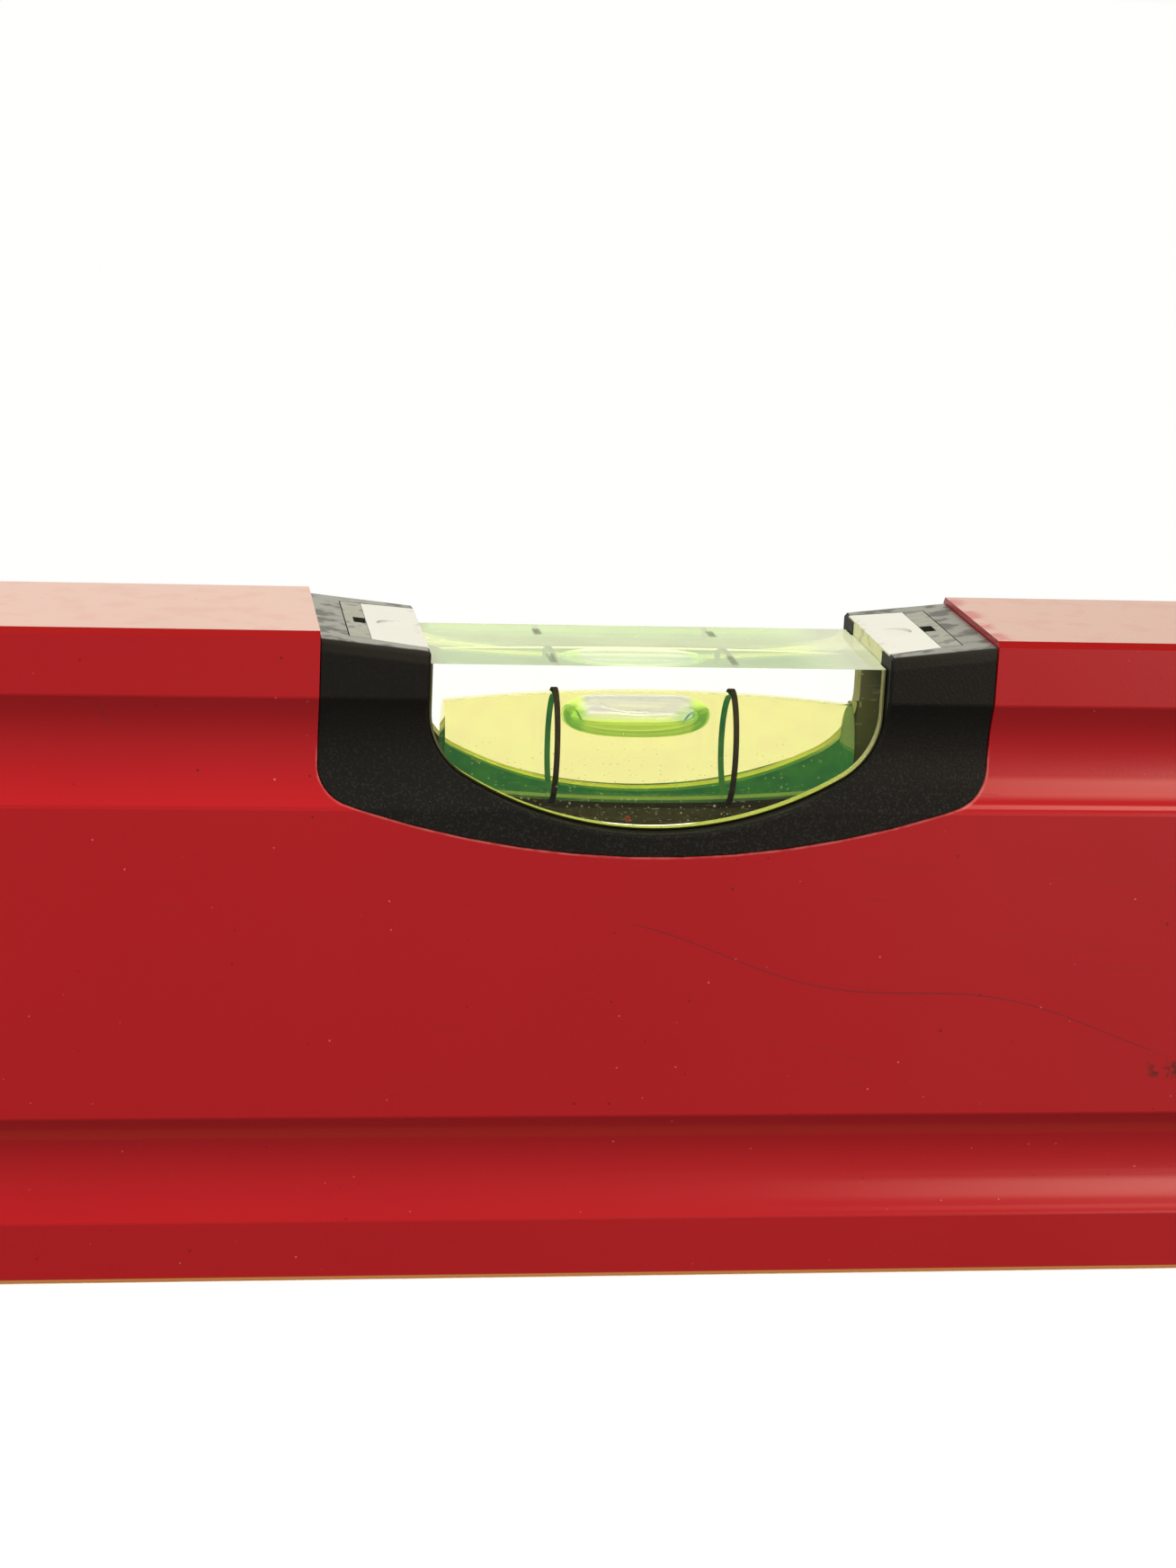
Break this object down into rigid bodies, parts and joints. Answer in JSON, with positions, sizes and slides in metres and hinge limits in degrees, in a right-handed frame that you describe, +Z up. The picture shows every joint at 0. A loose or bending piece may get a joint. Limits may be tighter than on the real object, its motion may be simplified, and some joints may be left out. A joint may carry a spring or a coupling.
{
  "type": "magnetic spirit level",
  "caption": "Hollow box spirit level with a magnetic milled base, a top-reading centre vial in a black cradle, an upright vial near one end and rubber-faced end caps.",
  "frame": {"origin": "middle of the measuring face, on its plane", "axes": "+X along the level towards the end with the upright vial, +Y across it to the back, +Z up out of the top face"},
  "size_m": [0.4, 0.0206, 0.06],
  "materials": {
    "red_coat": "satin powder coat with fine texture, bare milled aluminium on the measuring face",
    "black_moulding": "fine spark texture",
    "black_wedge": "smooth moulded, scuffed",
    "clear_block": "polished clear, faint green tint",
    "clear_plug": "polished clear, faint green tint",
    "vial_liquid": "clear yellow-green liquid",
    "air": "air bubble",
    "ring_ink": "dark ring",
    "white_pad": "milky moulded plastic, light scuffs",
    "cap_plastic": "fine spark texture",
    "bumper_rubber": "matt",
    "magnet_nickel": "nickel plated",
    "cup_steel": "turned steel"
  },
  "bodies": {
    "level": {"profile": "red_coat", "vial_holder": "black_moulding", "vial_block": "clear_block", "vial_liquid": "vial_liquid", "vial_plug": "clear_plug", "plumb_holder_front": "black_moulding", "plumb_holder_back": "black_moulding", "plumb_block": "clear_block", "plumb_liquid": "vial_liquid", "plumb_plug": "clear_plug", "vial_ring_left": "ring_ink", "vial_ring_right": "ring_ink", "plumb_ring_lower": "ring_ink", "plumb_ring_upper": "ring_ink", "vial_pad_left": "white_pad", "vial_wedge_left": "black_wedge", "end_cap_left": "cap_plastic", "end_bumper_left": "bumper_rubber", "vial_pad_right": "white_pad", "vial_wedge_right": "black_wedge", "end_cap_right": "cap_plastic", "end_bumper_right": "bumper_rubber", "magnet_1": "magnet_nickel", "magnet_cup_1": "cup_steel", "magnet_2": "magnet_nickel", "magnet_cup_2": "cup_steel", "magnet_3": "magnet_nickel", "magnet_cup_3": "cup_steel", "magnet_4": "magnet_nickel", "magnet_cup_4": "cup_steel"},
    "running_bubble": {"vial_bubble": "air"},
    "upright_bubble": {"plumb_bubble": "air"}
  },
  "joints": [
    {"name": "bubble_run", "type": "hinge", "parent": "level", "child": "running_bubble", "pos_m": [0, 0, -0.10635], "axis": [0, 1, 0], "range_deg": [-3.6, 4.4], "stiffness_Nm_per_rad": 0.003, "deforming": ["vial_liquid"]},
    {"name": "plumb_bubble_run", "type": "slide", "parent": "level", "child": "upright_bubble", "axis": [0, 0, -1], "range_m": [0, 0.0191], "stiffness_N_per_m": 0.5, "springref_m": -0.02, "deforming": ["plumb_liquid"]}
  ]
}
